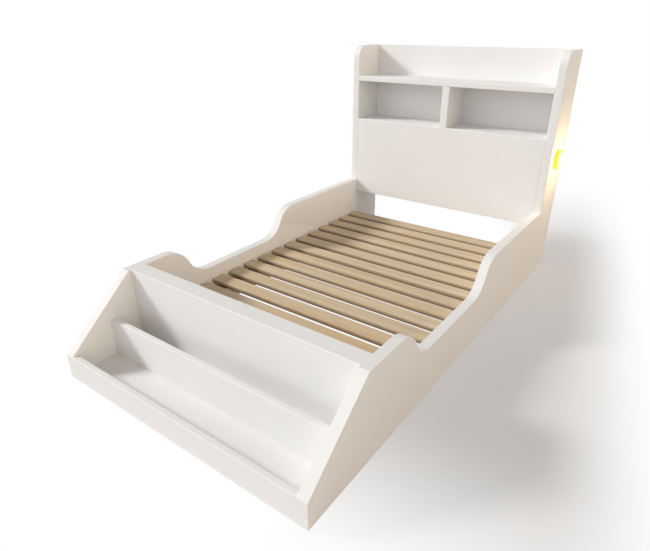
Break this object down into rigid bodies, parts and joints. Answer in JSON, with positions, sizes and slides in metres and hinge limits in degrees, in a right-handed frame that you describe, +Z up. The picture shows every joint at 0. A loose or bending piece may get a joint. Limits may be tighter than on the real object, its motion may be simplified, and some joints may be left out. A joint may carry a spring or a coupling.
{
  "type": "single bed",
  "caption": "Single bed with curved side panels, bare wood slats, a bookcase headboard with cubbies and a shelf, a stepped open bookcase at the foot and a push light on one side.",
  "frame": {"origin": "middle of the whole footprint on the floor; the bed's own middle plane lies 16.5 mm to -X of it, because the push light stands out on one side", "axes": "+X to the right seen from the foot, +Y from the foot to the headboard, +Z up"},
  "size_m": [1.019, 1.857, 0.948],
  "materials": {
    "white_board": "satin white paint",
    "bare_wood": "planed, bare",
    "dowel_wood": "fluted beech",
    "zinc_steel": "zinc plated",
    "zinc_casting": "die cast",
    "lamp_yellow": "moulded",
    "lamp_diffuser": "opal",
    "lamp_white": "moulded",
    "battery_sleeve": "sleeved",
    "circuit_board": "solder mask",
    "led_chip": "phosphor",
    "black_plastic": "moulded"
  },
  "bodies": {
    "bed": {"back_panel_screws": "zinc_steel", "cam_bolts": "zinc_steel", "cam_locks": "zinc_casting", "dowels": "dowel_wood", "foot_back_panel": "white_board", "foot_cap": "white_board", "foot_end_panel": "white_board", "foot_floor": "white_board", "foot_lip": "white_board", "foot_riser": "white_board", "foot_upper_shelf": "white_board", "head_back_panel": "white_board", "head_bottom_board": "white_board", "head_cubby_shelf": "white_board", "head_divider": "white_board", "head_front_panel": "white_board", "head_side_left": "white_board", "head_side_right": "white_board", "head_top_shelf": "white_board", "lamp_back_plate": "lamp_white", "lamp_batteries": "battery_sleeve", "lamp_housing": "lamp_yellow", "lamp_led_board": "circuit_board", "lamp_leds": "led_chip", "lamp_screws": "zinc_steel", "lamp_switch": "black_plastic", "ledger_screws": "zinc_steel", "side_panel_left": "white_board", "side_panel_right": "white_board", "slat_01": "bare_wood", "slat_02": "bare_wood", "slat_03": "bare_wood", "slat_04": "bare_wood", "slat_05": "bare_wood", "slat_06": "bare_wood", "slat_07": "bare_wood", "slat_08": "bare_wood", "slat_09": "bare_wood", "slat_10": "bare_wood", "slat_11": "bare_wood", "slat_12": "bare_wood", "slat_13": "bare_wood", "slat_14": "bare_wood", "slat_15": "bare_wood", "slat_ledger_left": "bare_wood", "slat_ledger_right": "bare_wood", "slat_screws": "zinc_steel"},
    "lamp_button": {"lamp_lens": "lamp_diffuser", "lamp_plunger": "lamp_white"}
  },
  "joints": [
    {"name": "lamp_press", "type": "slide", "parent": "bed", "child": "lamp_button", "axis": [-1, 0, 0], "range_m": [0, 0.002], "stiffness_N_per_m": 500}
  ]
}
